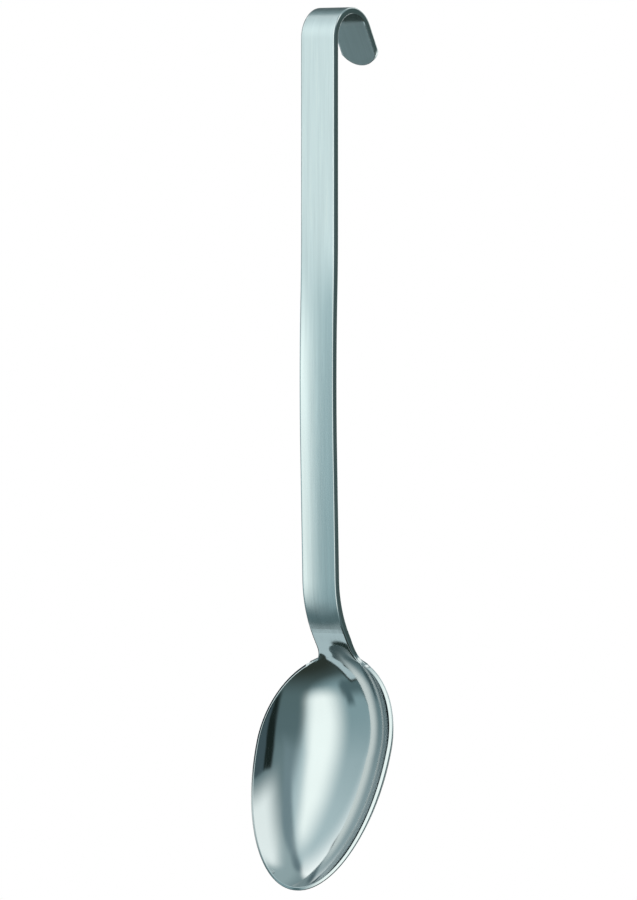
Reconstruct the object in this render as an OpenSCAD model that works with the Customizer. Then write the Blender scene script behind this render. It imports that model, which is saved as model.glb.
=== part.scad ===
// Long serving spoon of stainless steel with a flat hook handle.
// Frame: Z up, X across the bar, the open face of the bowl looks towards -Y.
// The origin is the centre of the hook's inner bend, where a hanging rail lies.

/* [Hook] */
// Radius of the inner face of the hook, where the rail lies
hook_inner_r = 8.9; // [6:0.1:14]
// Angle between the hook's free leg and the vertical
hook_flare = 28; // [10:1:45]
// Length of the free leg with its rounded tongue
return_l = 15.5; // [12:0.5:24]
// Radius of the tongue's rounded end, seen on its face
tongue_r = 9; // [9:0.1:11]

/* [Handle] */
// Width of the flat bar
bar_w = 15.6; // [13:0.2:17.6]
// Thickness of the flat bar
bar_t = 2.4; // [1.8:0.1:3.2]
// Length of the straight leg below the hook
leg_l = 70; // [40:0.5:110]
// Radius of the slight forward kink, at the middle of the bar
kink_r = 660; // [400:10:900]
// Angle of the forward kink
kink_a = 1.9; // [1:0.1:4]
// Radius of the long sweep back, at the middle of the bar
sweep_r = 970; // [500:10:1200]
// Backward lean of the lower leg
lean_a = 1.5; // [0.5:0.1:4]
// Length of the lower leg, down to the neck
lower_l = 46; // [20:0.5:80]

/* [Neck] */
// Radius of the neck bend, at the middle of the bar
neck_r = 41.4; // [34:0.2:60]
// Angle from the vertical at the end of the neck bend
neck_a = 40; // [38:0.5:48]
// Angle from the vertical at which the bar ends in the weld
weld_a = 27; // [12:0.5:28]
// Width of the weld, along the bar
weld_w = 1.6; // [1:0.1:2]
// Length of the straight tang between the neck bend and the rim
tang_l = 3; // [2.4:0.2:12]
// Radius where the tang's edges flow into the rim
shoulder_r = 4; // [2:0.1:5.6]

/* [Bowl] */
// Length of the rim, from the tang to the tip
bowl_l = 89; // [75:1:110]
// Width of the rim
bowl_w = 62.2; // [50:0.2:75]
// Depth from the plane of the rim to the outside of the bottom
bowl_depth = 18; // [12:0.5:26]
// Distance from the tang end of the rim to its widest place
bowl_widest = 34.5; // [26:0.5:44]
// Distance from the tang end of the rim to the deepest place
bowl_deepest = 36; // [28:0.5:46]
// Angle between the plane of the rim and the vertical
bowl_tilt = 17.1; // [8:0.1:30]
// Width of the flat of the rim
rim_t = 1.5; // [0.8:0.1:2.4]
// Thickness of the sheet at the bottom of the bowl
bowl_wall = 1.4; // [0.8:0.1:2.4]

/* [Hidden] */

// Share of a half ellipse that the wall's profile uses, 1 being upright at the rim
profile_share = 0.85;
// Overrun of every cut, and a reach that is clear of the hook
cut = 1;
clear_r = 4 * hook_inner_r;
// How finely curves are drawn
bend_fn = 96;
// Steps along the bar's kink, sweep and neck bend
kink_n = 4;
sweep_n = 10;
neck_n = 12;
// Counts of the bowl's mesh: rings down the wall, sectors across half the tang and round each
// side, and rows of the tang in its flow into the rim and in its bend
ring_n = 12;
tang_n = 6;
side_n = 26;
fillet_n = 5;
tang_step_n = 3;

// Middle of the bar at the start of each stretch: [y, z, angle from the vertical, leaning back]
hook_r = hook_inner_r + bar_t / 2;
leg_at = [-hook_r, 0, 0];
kink_at = run(leg_at, leg_l);
sweep_at = turn(kink_at, kink_r, -kink_a);
lower_at = turn(sweep_at, sweep_r, kink_a + lean_a);
neck_at = run(lower_at, lower_l);
weld_turn = weld_w / neck_r * 180 / PI;
tang_a = weld_a + weld_turn;
rim_at = run(turn(neck_at, neck_r, neck_a - lean_a), tang_l);

// Places on the middle of the bar from the hook to the weld
leg_places = concat(
    [leg_at],
    [for (i = [0:kink_n]) turn(kink_at, kink_r, -i / kink_n * kink_a)],
    [for (i = [1:sweep_n]) turn(sweep_at, sweep_r, i / sweep_n * (kink_a + lean_a))],
    [for (i = [0:neck_n]) turn(neck_at, neck_r, i / neck_n * (weld_a - lean_a))]
);

// Place of the rim's tang end, at the outside of the sheet
rim_front = face_at(rim_at, -bar_t / 2);
rim_y = rim_front[0] + rim_t * sin(bowl_tilt);
rim_z = rim_front[1] + rim_t * cos(bowl_tilt);

// The place reached by going straight on for a length
function run(at, l) = [at[0] + l * sin(at[2]), at[1] - l * cos(at[2]), at[2]];

// The place reached round a bend; a positive angle bends back and a negative one forward
function turn(at, r, a) =
    let (side = sign(a))
    [
        at[0] + side * r * (cos(at[2]) - cos(at[2] + a)),
        at[1] - side * r * (sin(at[2] + a) - sin(at[2])),
        at[2] + a
    ];

// A place beside the middle of the bar: a positive shift is towards the back
function face_at(at, shift) = [at[0] + shift * cos(at[2]), at[1] + shift * sin(at[2])];

// Side view of the whole strip, [towards the back, up]
module bar_profile() {
    difference() {
        circle(r = hook_inner_r + bar_t, $fn = bend_fn);
        circle(r = hook_inner_r, $fn = bend_fn);
        translate([-clear_r, -clear_r]) square([2 * clear_r, clear_r]);
        rotate(hook_flare) translate([0, -clear_r]) square(clear_r);
    }
    rotate(hook_flare) translate([hook_inner_r, -return_l]) square([bar_t, return_l]);
    polygon(concat(
        [for (at = leg_places) face_at(at, -bar_t / 2)],
        [for (i = [len(leg_places) - 1:-1:0]) face_at(leg_places[i], bar_t / 2)]
    ));
}

// What is ground away beside the round end of the tongue
module tongue_corners() {
    rotate([hook_flare, 0, 0])
        translate([0, hook_inner_r - cut, tongue_r - return_l])
            difference() {
                translate([-bar_w, 0, -tongue_r - cut])
                    cube([2 * bar_w, bar_t + 2 * cut, tongue_r + cut]);
                translate([0, -cut, 0])
                    rotate([-90, 0, 0]) cylinder(r = tongue_r, h = bar_t + 4 * cut, $fn = bend_fn);
            }
}

// One strip of brushed steel: tongue, hook, long leg and most of the neck bend
module handle() {
    color([0.80, 0.84, 0.85])
        difference() {
            rotate([90, 0, 90]) linear_extrude(height = bar_w, center = true) bar_profile();
            tongue_corners();
        }
}

// Butt weld, ground flush with the bar, between the handle and the bowl's tang
module neck_weld() {
    bend_at = [neck_at[0] + neck_r * cos(lean_a), neck_at[1] + neck_r * sin(lean_a)];
    color([0.70, 0.75, 0.77])
        translate([0, bend_at[0], bend_at[1]])
            rotate([90, 0, 90])
                rotate([0, 0, 180 + weld_a])
                    rotate_extrude(angle = weld_turn, $fn = bend_fn * 2)
                        translate([neck_r - bar_t / 2, -bar_w / 2]) square([bar_t, bar_w]);
}

// Angles round the rim, from the middle of the tang by the +X side to the tip and back
shoulder_a = asin((bar_w / 2 + shoulder_r) / (bowl_w / 2));
side_angles = concat(
    [for (i = [0:tang_n]) i / tang_n * shoulder_a],
    [for (i = [1:side_n]) shoulder_a + i / side_n * (180 - shoulder_a)]
);
half_n = tang_n + side_n;
sector_n = 2 * half_n;
rim_angles = concat(side_angles, [for (i = [half_n - 1:-1:1]) 360 - side_angles[i]]);

// Outline of the rim, [across, along], drawn in by an inset: two half ellipses
function outline(a, inset) =
    let (along = cos(a) > 0 ? bowl_widest - inset : bowl_l - bowl_widest - inset)
    [(bowl_w / 2 - inset) * sin(a), bowl_widest - along * cos(a)];

// Depth of the wall as a share of the bottom's, at a share of the way from the bottom to the rim
function wall_depth_share(ring_share) =
    let (rim_up_share = sqrt(1 - profile_share * profile_share))
    (sqrt(1 - pow(profile_share * ring_share, 2)) - rim_up_share) / (1 - rim_up_share);

// Place in space of a point of the bowl: across, along the rim's plane, and deep behind it
function in_space(across, along, deep) = [
    across,
    rim_y - along * sin(bowl_tilt) + deep * cos(bowl_tilt),
    rim_z - along * cos(bowl_tilt) - deep * sin(bowl_tilt)
];

// One point of a face of the bowl; the rings climb the wall in equal steps of its curve
function bowl_point(ring, sector, inset, depth) =
    let (
        ring_share = sin(ring / ring_n * asin(profile_share)) / profile_share,
        rim = outline(rim_angles[sector], inset)
    )
    in_space(
        ring_share * rim[0],
        bowl_deepest + ring_share * (rim[1] - bowl_deepest),
        depth * wall_depth_share(ring_share)
    );

// Place on the middle of the bar at a distance above the rim, up the tang
function tang_at(l) =
    l < tang_l
        ? run(rim_at, -l)
        : turn(neck_at, neck_r, neck_a - lean_a - (l - tang_l) / neck_r * 180 / PI);
tang_top_l = tang_l + neck_r * (neck_a - tang_a) * PI / 180;

// Rows of the tang above the rim: [place on the middle of the bar, share of the flow into the rim]
tang_rows = concat(
    [for (i = [1:fillet_n]) [tang_at(shoulder_r * (1 - cos(i / fillet_n * 90))), 1 - sin(i / fillet_n * 90)]],
    [for (i = [1:tang_step_n]) [tang_at(shoulder_r + i / tang_step_n * (tang_top_l - shoulder_r)), 0]]
);
tang_row_n = len(tang_rows);
tang_col_n = 2 * tang_n + 1;

// One point of a face of the tang, which flows into the rim's own point in that column
function tang_point(row, col, inset, shift) =
    let (
        across = col / tang_n * bar_w / 2,
        here = face_at(row[0], shift),
        foot = face_at(rim_at, shift),
        rim = bowl_point(ring_n, (col + sector_n) % sector_n, inset, 0)
    )
    [
        across + row[1] * (rim[0] - across),
        here[0] + row[1] * (rim[1] - foot[0]),
        here[1] + row[1] * (rim[2] - foot[1])
    ];

// All points of one face of the sheet: rings from the bottom, the bottom's middle, then the tang
function sheet_points(inset, depth, shift) = concat(
    [for (ring = [1:ring_n], sector = [0:sector_n - 1]) bowl_point(ring, sector, inset, depth)],
    [bowl_point(0, 0, inset, depth)],
    [for (row = tang_rows, col = [-tang_n:tang_n]) tang_point(row, col, inset, shift)]
);
sheet_n = ring_n * sector_n + 1 + tang_row_n * tang_col_n;

// Two triangles between four points
function quad(a, b, c, d) = [[a, b, c], [a, c, d]];

// Number of a point in the list: face 0 is the open side of the sheet and face 1 is its back
function ring_id(face, ring, sector) =
    face * sheet_n + (ring == 0 ? ring_n * sector_n : (ring - 1) * sector_n + sector % sector_n);
function tang_id(face, row, col) =
    row == 0
        ? ring_id(face, ring_n, col + sector_n)
        : face * sheet_n + ring_n * sector_n + 1 + (row - 1) * tang_col_n + col + tang_n;

// Triangles of the pressed sheet: open side, back, flat of the rim, tang, its edges and its end
bowl_faces = concat(
    [for (i = [0:sector_n - 1]) [ring_id(0, 0, 0), ring_id(0, 1, i), ring_id(0, 1, i + 1)]],
    [for (i = [0:sector_n - 1]) [ring_id(1, 0, 0), ring_id(1, 1, i + 1), ring_id(1, 1, i)]],
    [
        for (j = [1:ring_n - 1], i = [0:sector_n - 1])
            each quad(ring_id(0, j, i), ring_id(0, j + 1, i), ring_id(0, j + 1, i + 1), ring_id(0, j, i + 1))
    ],
    [
        for (j = [1:ring_n - 1], i = [0:sector_n - 1])
            each quad(ring_id(1, j, i), ring_id(1, j, i + 1), ring_id(1, j + 1, i + 1), ring_id(1, j + 1, i))
    ],
    [
        for (i = [tang_n:sector_n - tang_n - 1])
            each quad(
                ring_id(0, ring_n, i), ring_id(1, ring_n, i),
                ring_id(1, ring_n, i + 1), ring_id(0, ring_n, i + 1)
            )
    ],
    [
        for (r = [0:tang_row_n - 1], c = [-tang_n:tang_n - 1])
            each quad(tang_id(0, r, c), tang_id(0, r + 1, c), tang_id(0, r + 1, c + 1), tang_id(0, r, c + 1))
    ],
    [
        for (r = [0:tang_row_n - 1], c = [-tang_n:tang_n - 1])
            each quad(tang_id(1, r, c), tang_id(1, r, c + 1), tang_id(1, r + 1, c + 1), tang_id(1, r + 1, c))
    ],
    [
        for (r = [0:tang_row_n - 1])
            each quad(
                tang_id(0, r, tang_n), tang_id(0, r + 1, tang_n),
                tang_id(1, r + 1, tang_n), tang_id(1, r, tang_n)
            )
    ],
    [
        for (r = [0:tang_row_n - 1])
            each quad(
                tang_id(0, r + 1, -tang_n), tang_id(0, r, -tang_n),
                tang_id(1, r, -tang_n), tang_id(1, r + 1, -tang_n)
            )
    ],
    [
        for (c = [-tang_n:tang_n - 1])
            each quad(
                tang_id(0, tang_row_n, c + 1), tang_id(0, tang_row_n, c),
                tang_id(1, tang_row_n, c), tang_id(1, tang_row_n, c + 1)
            )
    ]
);

// Bowl pressed from one sheet, with the tang that meets the handle
module bowl() {
    color([0.72, 0.77, 0.78])
        polyhedron(
            points = concat(
                sheet_points(rim_t, bowl_depth - bowl_wall, -bar_t / 2),
                sheet_points(0, bowl_depth, bar_t / 2)
            ),
            faces = bowl_faces,
            convexity = 6
        );
}

handle();
neck_weld();
bowl();
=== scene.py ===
"""Long serving spoon of stainless steel with a flat hook handle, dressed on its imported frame.

Every size here is in millimetres and repeats the one of the solid that the piece stands for.
"""

import logging
import math
from collections.abc import Callable, Iterable
from dataclasses import dataclass, field
from enum import Enum

import bmesh
import bpy
from mathutils import Matrix, Vector


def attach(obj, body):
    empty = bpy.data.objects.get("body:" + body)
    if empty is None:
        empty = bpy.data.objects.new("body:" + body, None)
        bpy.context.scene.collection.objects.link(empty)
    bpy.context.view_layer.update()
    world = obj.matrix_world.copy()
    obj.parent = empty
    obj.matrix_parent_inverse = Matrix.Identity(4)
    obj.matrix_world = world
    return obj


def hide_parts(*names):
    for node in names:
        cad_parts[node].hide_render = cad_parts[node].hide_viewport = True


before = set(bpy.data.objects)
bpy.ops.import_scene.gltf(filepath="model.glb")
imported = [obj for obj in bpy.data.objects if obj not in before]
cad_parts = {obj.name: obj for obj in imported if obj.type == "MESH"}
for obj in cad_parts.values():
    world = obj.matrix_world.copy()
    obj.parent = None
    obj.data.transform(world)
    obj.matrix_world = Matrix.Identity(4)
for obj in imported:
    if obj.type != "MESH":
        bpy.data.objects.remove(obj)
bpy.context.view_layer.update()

log = logging.getLogger("spoon")

# One millimetre in metres
MM = 0.001
# Distance within which a point counts as lying in a section
TOUCHING = 0.001
# Angle between two faces from which their edge is a sharp one
SHARP = math.radians(40)
# Faces across a rounding
ROUNDING_STEPS = 4
# Rounds of the search for a place at a given height
SEEKING_ROUNDS = 24


# Named options


class Slot(Enum):
    """Material slots of the record."""

    BRUSHED = "brushed_stainless"
    POLISHED = "polished_stainless"


class Side(Enum):
    """The two faces of a pressed sheet."""

    FRONT = 0
    BACK = 1


# Small helpers


def linear(hex_colour: str, strength: float = 1.0) -> tuple[float, float, float, float]:
    """Turns an sRGB hex value to a linear colour.

    Args:
        hex_colour: six hex digits, with or without a leading #.
        strength: factor on the linear values.

    Returns:
        Linear red, green, blue and an alpha of 1.
    """
    digits = hex_colour.lstrip("#")
    channels = [int(digits[i : i + 2], 16) / 255 for i in (0, 2, 4)]
    values = [c / 12.92 if c <= 0.04045 else ((c + 0.055) / 1.055) ** 2.4 for c in channels]
    return (values[0] * strength, values[1] * strength, values[2] * strength, 1.0)


def add_node(
    tree: bpy.types.NodeTree, kind: str, inputs: dict | None = None, **settings: object
) -> bpy.types.Node:
    """Adds a node with its settings, values and links.

    Args:
        tree: node tree that gets the node.
        kind: the node's type name.
        inputs: socket name or number to a value, or to the output socket that feeds it.
        settings: attributes of the node.

    Returns:
        The new node.
    """
    node = tree.nodes.new(kind)
    for name, value in settings.items():
        setattr(node, name, value)
    for socket, value in (inputs or {}).items():
        if isinstance(value, bpy.types.NodeSocket):
            tree.links.new(value, node.inputs[socket])
        else:
            node.inputs[socket].default_value = value
    return node


def new_tree(name: str) -> tuple[bpy.types.Material, bpy.types.NodeTree]:
    """Makes a material with an empty node tree.

    Args:
        name: the material's name.

    Returns:
        The material and its node tree.
    """
    material = bpy.data.materials.new(name)
    material.use_nodes = True
    material.node_tree.nodes.clear()
    return material, material.node_tree


def gentle(share: float) -> float:
    """Turns an even share of a change to one that starts and ends gently."""
    return share * share * (3 - 2 * share)


def faces_in(geom: Iterable[object]) -> list[bmesh.types.BMFace]:
    """Returns the faces in what an operator gives back."""
    return [g for g in geom if isinstance(g, bmesh.types.BMFace)]


def edges_in(geom: Iterable[object]) -> list[bmesh.types.BMEdge]:
    """Returns the edges in what an operator gives back."""
    return [g for g in geom if isinstance(g, bmesh.types.BMEdge)]


def verts_of(parts: Iterable[bmesh.types.BMFace | bmesh.types.BMEdge]) -> list[bmesh.types.BMVert]:
    """Returns the points of some faces or edges, each of them once and always in the same order."""
    return list(dict.fromkeys(v for part in parts for v in part.verts))


def finish_mesh(bm: bmesh.types.BMesh, name: str) -> bpy.types.Object:
    """Turns a bmesh in millimetres into a smooth object in metres, at the origin.

    Args:
        bm: the shape, which is freed.
        name: the object's and the mesh's name.

    Returns:
        The new object, linked to the scene.
    """
    bmesh.ops.remove_doubles(bm, verts=bm.verts, dist=TOUCHING / 2)
    bmesh.ops.recalc_face_normals(bm, faces=bm.faces)
    bmesh.ops.scale(bm, vec=(MM, MM, MM), verts=bm.verts)
    for face in bm.faces:
        face.smooth = True
    mesh = bpy.data.meshes.new(name)
    bm.to_mesh(mesh)
    bm.free()
    obj = bpy.data.objects.new(name, mesh)
    bpy.context.scene.collection.objects.link(obj)
    return obj


def grow(bm: bmesh.types.BMesh, section: list[bmesh.types.BMFace]) -> list[bmesh.types.BMFace]:
    """Extrudes a section on the spot and takes out the faces that are then inside.

    Args:
        bm: the shape.
        section: faces of the section at the growing end.

    Returns:
        The faces of the new section.
    """
    made = bmesh.ops.extrude_face_region(bm, geom=section)
    drop_inside(bm, section)
    return faces_in(made["geom"])


def drop_inside(bm: bmesh.types.BMesh, section: list[bmesh.types.BMFace]) -> None:
    """Deletes a section if the shape now runs on through it; the first one stays as the end.

    Args:
        bm: the shape.
        section: faces of the section that has just been extruded.
    """
    left = [f for f in section if f.is_valid]
    if any(len(e.link_faces) > 2 for f in left for e in f.edges):
        bmesh.ops.delete(bm, geom=left, context="FACES")


def mark_sharp(bm: bmesh.types.BMesh) -> None:
    """Marks the edges that are still sharp once the others have been rounded."""
    for edge in bm.edges:
        edge.smooth = edge.calc_face_angle(0) < SHARP


def settle(obj: bpy.types.Object) -> None:
    """Applies the modifiers of a piece and marks the edges that they leave sharp.

    Args:
        obj: the piece.
    """
    graph = bpy.context.evaluated_depsgraph_get()
    mesh = bpy.data.meshes.new_from_object(obj.evaluated_get(graph))
    bm = bmesh.new()
    bm.from_mesh(mesh)
    mark_sharp(bm)
    bm.to_mesh(mesh)
    bm.free()
    obj.modifiers.clear()
    obj.data = mesh


def keep_flats_flat(obj: bpy.types.Object) -> None:
    """Weights the normals by face area, so that small roundings leave the flats beside them flat.

    Edges marked sharp, those of the sections where two pieces meet, keep both of their normals.

    Args:
        obj: the piece.
    """
    weighted = obj.modifiers.new("flat_faces", "WEIGHTED_NORMAL")
    weighted.mode = "FACE_AREA"
    weighted.weight = 100
    weighted.keep_sharp = True


# The line of the bar


@dataclass(frozen=True)
class BarPlace:
    """A place on the middle of the bar, in its side view.

    Attributes:
        y: distance towards the back.
        z: height.
        lean: angle of the way down from the vertical, leaning back, in degrees.
    """

    y: float
    z: float
    lean: float

    def ahead(self, length: float) -> "BarPlace":
        """Returns the place reached by going straight on for a length."""
        a = math.radians(self.lean)
        return BarPlace(self.y + length * math.sin(a), self.z - length * math.cos(a), self.lean)

    def centre(self, radius: float, angle: float) -> tuple[float, float]:
        """Finds the centre of a bend that starts here.

        Args:
            radius: radius at the middle of the bar.
            angle: angle in degrees; a positive one bends back.

        Returns:
            The centre's distance towards the back and its height.
        """
        a = math.radians(self.lean)
        side = math.copysign(radius, angle)
        return self.y + side * math.cos(a), self.z + side * math.sin(a)

    def round(self, radius: float, angle: float) -> "BarPlace":
        """Finds the place reached round a bend.

        Args:
            radius: radius at the middle of the bar.
            angle: angle in degrees; a positive one bends back.

        Returns:
            The place.
        """
        cy, cz = self.centre(radius, angle)
        a = math.radians(self.lean + angle)
        side = math.copysign(radius, angle)
        return BarPlace(cy - side * math.cos(a), cz - side * math.sin(a), self.lean + angle)

    def face(self, shift: float) -> tuple[float, float]:
        """Returns the place beside the middle; a positive shift is towards the back."""
        a = math.radians(self.lean)
        return self.y + shift * math.cos(a), self.z + shift * math.sin(a)


@dataclass(frozen=True)
class BarSizes:
    """Sizes of the flat bar, from the hook to the rim of the bowl.

    Attributes:
        width: width of the bar.
        thickness: its thickness.
        front_edge: width of the rounding on each side of a front edge.
        back_edge: the same for the back edges.
        hook_radius: radius inside the hook.
        hook_flare: angle by which the hook stays short of a half turn, in degrees.
        return_length: length of the tongue past the hook.
        tongue_radius: radius of the tongue's round end.
        leg: length of the straight leg.
        kink_radius: radius of the forward kink.
        kink: its angle in degrees.
        sweep_radius: radius of the long sweep back.
        lean: angle at which the lower leg leans back after it, in degrees.
        lower: length of the lower leg.
        neck_radius: radius of the neck bend.
        neck_end: lean at the end of the neck bend, in degrees.
        weld_start: lean where the bar meets the weld, in degrees.
        weld_width: length of the weld along the bend.
        tang: straight length between the neck bend and the rim.
    """

    width: float = 15.6
    thickness: float = 2.4
    front_edge: float = 0.7
    back_edge: float = 0.3
    hook_radius: float = 8.9
    hook_flare: float = 28.0
    return_length: float = 15.5
    tongue_radius: float = 9.0
    leg: float = 70.0
    kink_radius: float = 660.0
    kink: float = 1.9
    sweep_radius: float = 970.0
    lean: float = 1.5
    lower: float = 46.0
    neck_radius: float = 41.4
    neck_end: float = 40.0
    weld_start: float = 27.0
    weld_width: float = 1.6
    tang: float = 3.0

    @property
    def hook_middle(self) -> float:
        """Radius of the hook at the middle of the bar."""
        return self.hook_radius + self.thickness / 2

    @property
    def leg_start(self) -> BarPlace:
        """Place where the hook ends and the long leg starts."""
        return BarPlace(-self.hook_middle, 0, 0)

    @property
    def kink_start(self) -> BarPlace:
        """Place where the forward kink starts."""
        return self.leg_start.ahead(self.leg)

    @property
    def sweep_start(self) -> BarPlace:
        """Place where the long sweep back starts."""
        return self.kink_start.round(self.kink_radius, -self.kink)

    @property
    def lower_start(self) -> BarPlace:
        """Place where the straight lower leg starts."""
        return self.sweep_start.round(self.sweep_radius, self.kink + self.lean)

    @property
    def neck_start(self) -> BarPlace:
        """Place where the neck bend starts."""
        return self.lower_start.ahead(self.lower)

    @property
    def weld_turn(self) -> float:
        """Angle that the weld takes of the neck bend, in degrees."""
        return math.degrees(self.weld_width / self.neck_radius)

    @property
    def rim(self) -> BarPlace:
        """Place where the tang meets the rim."""
        return self.neck_start.round(self.neck_radius, self.neck_end - self.lean).ahead(self.tang)

    def tang_place(self, up: float) -> BarPlace:
        """Finds a place on the tang.

        Args:
            up: distance above the rim.

        Returns:
            The place.
        """
        if up < self.tang:
            return self.rim.ahead(-up)
        turned = self.neck_end - self.lean - math.degrees((up - self.tang) / self.neck_radius)
        return self.neck_start.round(self.neck_radius, turned)

    @property
    def tang_top(self) -> float:
        """Distance up the tang from the rim to the weld."""
        free = self.neck_end - self.weld_start - self.weld_turn
        return self.tang + math.radians(free) * self.neck_radius


# Finishes


@dataclass(frozen=True)
class SatinSteel:
    """18/10 stainless steel, ground with a fine belt along the bar and then satined.

    The grinding lines run along the bar, so a light smears out across it and stays short along it.
    The satin is most matt where the hand holds the bar, gets finer down the lower leg,
    and has been buffed away at the neck, down to the polish of the bowl. Its colour holds painted
    light and shade: the grip is painted whiter than steel, as painted light, fading back to the
    buffed steel's own colour at the neck, and the top of the hook and its tongue are painted a
    darker grey, as painted shade.

    Attributes:
        name: name of the material.
        line_spacing: distance between grinding lines in millimetres, as coarse as it needs to show.
        line_length: length of a grinding line in millimetres.
        line_depth: depth of a grinding line in millimetres.
        streak: width and length of a broad streak in millimetres.
        line_rough: least and most factor of a line on the roughness.
        line_tone: least and most factor of a line on the colour.
        streak_tone: least and most factor of a streak on the colour.
        stretch: how much wider a light smears across the lines than along them.
        stages: height in millimetres, roughness and colour (painted shade and light), top down.
        tongue: how far back the painted shade on the hook starts and where it is full, in
        millimetres, then the roughness and painted-shade colour of the hook's back half and tongue.
        edge: distance from the middle where the narrow edges start to be buffed and where they
            are, in millimetres, then their roughness and colour.
    """

    name: str = "ground_stainless_satin"
    line_spacing: float = 0.22
    line_length: float = 14.0
    line_depth: float = 0.02
    streak: tuple[float, float] = (1.82, 50.0)
    line_rough: tuple[float, float] = (0.92, 1.08)
    line_tone: tuple[float, float] = (0.96, 1.03)
    streak_tone: tuple[float, float] = (0.95, 1.03)
    stretch: float = 0.7
    # Colours: painted shade on the hook's top, painted light whitening the grip, then the buffed steel's own
    # colour at the neck
    stages: tuple[tuple[float, float, str], ...] = (
        (10.5, 0.38, "#C4CCCE"),
        (2.0, 0.5, "#FBFDFE"),
        (-60.0, 0.5, "#FBFDFE"),
        (-100.0, 0.3, "#EBEEEF"),
        (-196.0, 0.25, "#DCDFE0"),
        (-214.0, 0.2, "#CDCFD0"),
    )
    # Painted shade: the hook's back half and the tongue are coloured a darker grey
    tongue: tuple[float, float, float, str] = (-3.0, 3.0, 0.38, "#CDD4D6")
    edge: tuple[float, float, float, str] = (7.0, 7.3, 0.13, "#D2D4D5")

    def _zones(self, tree: bpy.types.NodeTree) -> list[tuple[bpy.types.NodeSocket, float, str]]:
        """Finds how much each zone of the finish and its painted light and shade has taken over.

        Args:
            tree: node tree.

        Returns:
            For each zone, the socket of its share, its roughness and its colour.
        """
        place = add_node(tree, "ShaderNodeTexCoord")
        at = add_node(tree, "ShaderNodeSeparateXYZ", {0: place.outputs["Object"]})
        across = add_node(tree, "ShaderNodeMath", {0: at.outputs["X"]}, operation="ABSOLUTE")
        ramps = [
            (at.outputs["Z"], high[0], low[0], *low[1:]) for high, low in zip(self.stages, self.stages[1:])
        ]
        ramps += [(at.outputs["Y"], *self.tongue), (across.outputs[0], *self.edge)]
        zones = []
        for value, start, end, matt, steel_and_painted_tint in ramps:
            share = add_node(
                tree,
                "ShaderNodeMapRange",
                {"Value": value, "From Min": start * MM, "From Max": end * MM},
                interpolation_type="SMOOTHSTEP",
            )
            zones.append((share.outputs[0], matt, steel_and_painted_tint))
        return zones

    def _pattern(
        self, tree: bpy.types.NodeTree, uv: bpy.types.NodeSocket, width: float, length: float, detail: float
    ) -> bpy.types.Node:
        """Makes a noise whose grains are long and narrow.

        Args:
            tree: node tree.
            uv: socket of the bar's UV map, in millimetres.
            width: width of a grain in millimetres.
            length: length of a grain in millimetres.
            detail: octaves of the noise.

        Returns:
            The noise.
        """
        grains = add_node(tree, "ShaderNodeMapping", {"Vector": uv, "Scale": (1 / width, 1 / length, 1)})
        return add_node(
            tree,
            "ShaderNodeTexNoise",
            {"Vector": grains.outputs[0], "Scale": 1.0, "Detail": detail},
            noise_dimensions="2D",
        )

    def make(self) -> bpy.types.Material:
        """Builds the material.

        Returns:
            The material, which reads the bar's UV map in millimetres.
        """
        material, tree = new_tree(self.name)
        uv = add_node(tree, "ShaderNodeUVMap", uv_map="bar_mm").outputs["UV"]
        grain = self._pattern(tree, uv, self.line_spacing, self.line_length, 3.0)
        grain.inputs["Roughness"].default_value = 0.6
        streak = self._pattern(tree, uv, *self.streak, 2.0)
        satin: object = self.stages[0][1]
        base: object = linear(self.stages[0][2])
        for share, matt, steel_and_painted_tint in self._zones(tree):
            finer = add_node(tree, "ShaderNodeMix", {0: share, 2: satin, 3: matt}, data_type="FLOAT")
            # The zone colours mix painted light and shade with the steel's own colour
            steel_and_painted_tone = add_node(tree, "ShaderNodeMix", {0: share, 6: base, 7: linear(steel_and_painted_tint)}, data_type="RGBA")
            satin, base = finer.outputs[0], steel_and_painted_tone.outputs[2]
        # A noise keeps near its middle, so only that part of its range is spread over the factors
        factors = [
            add_node(
                tree,
                "ShaderNodeMapRange",
                {
                    "Value": noise.outputs[0],
                    "From Min": 0.5 - spread,
                    "From Max": 0.5 + spread,
                    "To Min": least,
                    "To Max": most,
                },
            ).outputs[0]
            for noise, spread, (least, most) in (
                (grain, 0.2, self.line_rough),
                (streak, 0.2, self.streak_tone),
                (grain, 0.25, self.line_tone),
            )
        ]
        rough = add_node(tree, "ShaderNodeMath", {0: satin, 1: factors[0]}, operation="MULTIPLY")
        shade = add_node(tree, "ShaderNodeMath", {0: factors[1], 1: factors[2]}, operation="MULTIPLY")
        colour = add_node(
            tree, "ShaderNodeVectorMath", {0: base, "Scale": shade.outputs[0]}, operation="SCALE"
        )
        bump = add_node(
            tree,
            "ShaderNodeBump",
            {"Height": grain.outputs[0], "Strength": 0.1, "Distance": self.line_depth * MM},
        )
        along = add_node(tree, "ShaderNodeTangent", direction_type="UV_MAP", uv_map="bar_mm")
        steel = add_node(
            tree,
            "ShaderNodeBsdfPrincipled",
            {
                "Base Color": colour.outputs[0],
                "Metallic": 1.0,
                "Roughness": rough.outputs[0],
                "Anisotropic": self.stretch,
                "Normal": bump.outputs[0],
                "Tangent": along.outputs[0],
            },
        )
        add_node(tree, "ShaderNodeOutputMaterial", {"Surface": steel.outputs[0]})
        return material


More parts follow.
